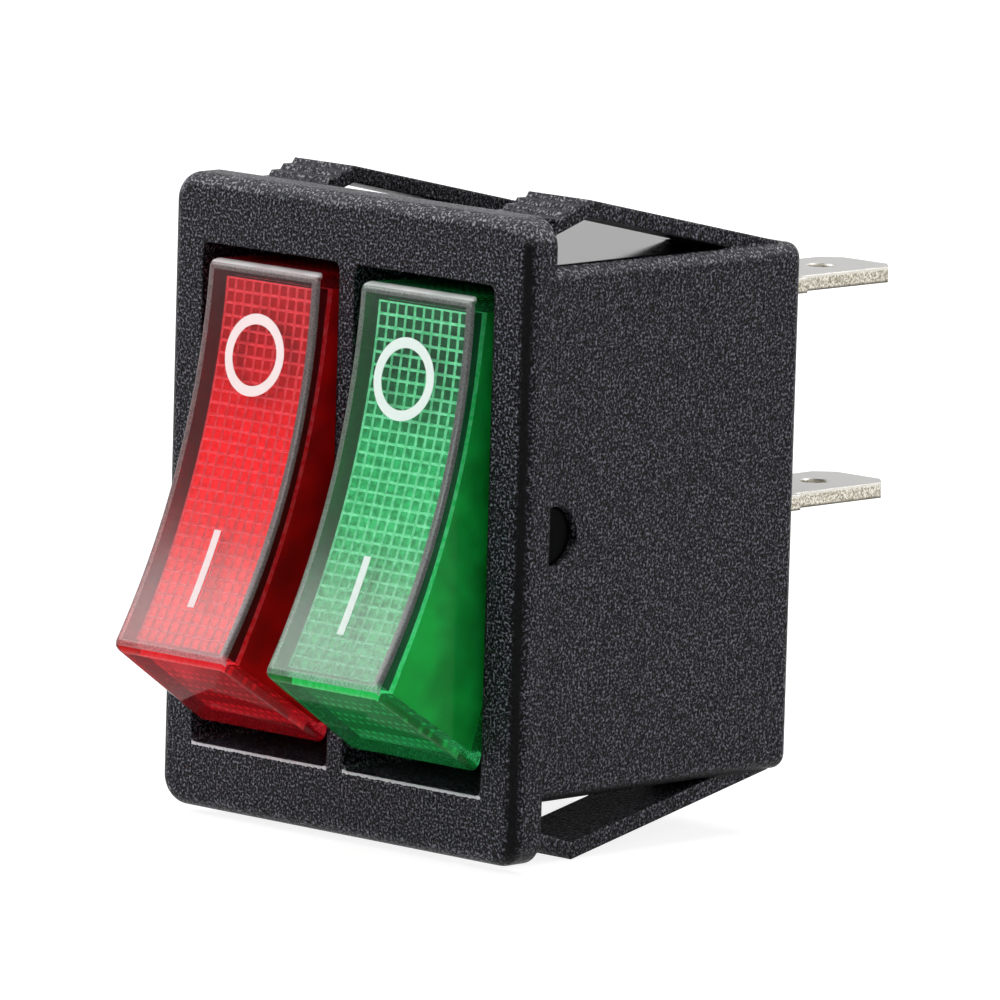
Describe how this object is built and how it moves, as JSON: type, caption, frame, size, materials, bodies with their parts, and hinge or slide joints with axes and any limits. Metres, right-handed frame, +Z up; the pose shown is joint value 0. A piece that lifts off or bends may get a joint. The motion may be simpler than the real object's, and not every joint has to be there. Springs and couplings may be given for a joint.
{
  "type": "twin rocker switch",
  "caption": "Snap-in panel switch with a red and a green translucent rocker side by side, each closing its own circuit through blade terminals at the back.",
  "frame": {"origin": "middle of the bezel's back face, in the plane of the panel's front", "axes": "+X across the rockers from red to green, +Y into the panel, +Z up towards the O ends"},
  "size_m": [0.025, 0.0389, 0.033],
  "materials": {
    "housing_plastic": "fine spark texture",
    "rocker_red_plastic": "translucent, frosted face",
    "rocker_green_plastic": "translucent, frosted face",
    "plunger_plastic": "natural nylon",
    "spring_steel": "drawn wire",
    "blade_copper": "rolled",
    "contact_silver": "polished",
    "terminal_plated": "tin plated"
  },
  "bodies": {
    "housing": {"housing": "housing_plastic", "load_terminal_red": "terminal_plated", "fixed_contact_red": "contact_silver", "common_terminal_red": "terminal_plated", "load_terminal_green": "terminal_plated", "fixed_contact_green": "contact_silver", "common_terminal_green": "terminal_plated"},
    "rocker_red": {"rocker_red": "rocker_red_plastic", "spring_red": "spring_steel"},
    "plunger_red": {"plunger_red": "plunger_plastic"},
    "blade_red": {"contact_blade_red": "blade_copper", "moving_contact_red": "contact_silver"},
    "rocker_green": {"rocker_green": "rocker_green_plastic", "spring_green": "spring_steel"},
    "plunger_green": {"plunger_green": "plunger_plastic"},
    "blade_green": {"contact_blade_green": "blade_copper", "moving_contact_green": "contact_silver"}
  },
  "joints": [
    {"name": "rocker_red_swing", "type": "hinge", "parent": "housing", "child": "rocker_red", "pos_m": [-0.00535, 0.0021, 0], "axis": [1, 0, 0], "range_deg": [0, 35.6]},
    {"name": "plunger_red_slide", "type": "slide", "parent": "rocker_red", "child": "plunger_red", "axis": [0, -0.9521, 0.3057], "range_m": [0, 0.001], "stiffness_N_per_m": 500, "springref_m": -0.002, "deforming": ["spring_red"]},
    {"name": "blade_red_rock", "type": "hinge", "parent": "housing", "child": "blade_red", "pos_m": [-0.00535, 0.01465, 0], "axis": [1, 0, 0], "range_deg": [-12, 0]},
    {"name": "rocker_green_swing", "type": "hinge", "parent": "housing", "child": "rocker_green", "pos_m": [0.00535, 0.0021, 0], "axis": [1, 0, 0], "range_deg": [0, 35.6]},
    {"name": "plunger_green_slide", "type": "slide", "parent": "rocker_green", "child": "plunger_green", "axis": [0, -0.9521, 0.3057], "range_m": [0, 0.001], "stiffness_N_per_m": 500, "springref_m": -0.002, "deforming": ["spring_green"]},
    {"name": "blade_green_rock", "type": "hinge", "parent": "housing", "child": "blade_green", "pos_m": [0.00535, 0.01465, 0], "axis": [1, 0, 0], "range_deg": [-12, 0]}
  ],
  "couplings": [
    {"joint": "blade_red_rock", "follows": "rocker_red_swing", "ratio": -0.337},
    {"joint": "blade_green_rock", "follows": "rocker_green_swing", "ratio": -0.337}
  ]
}
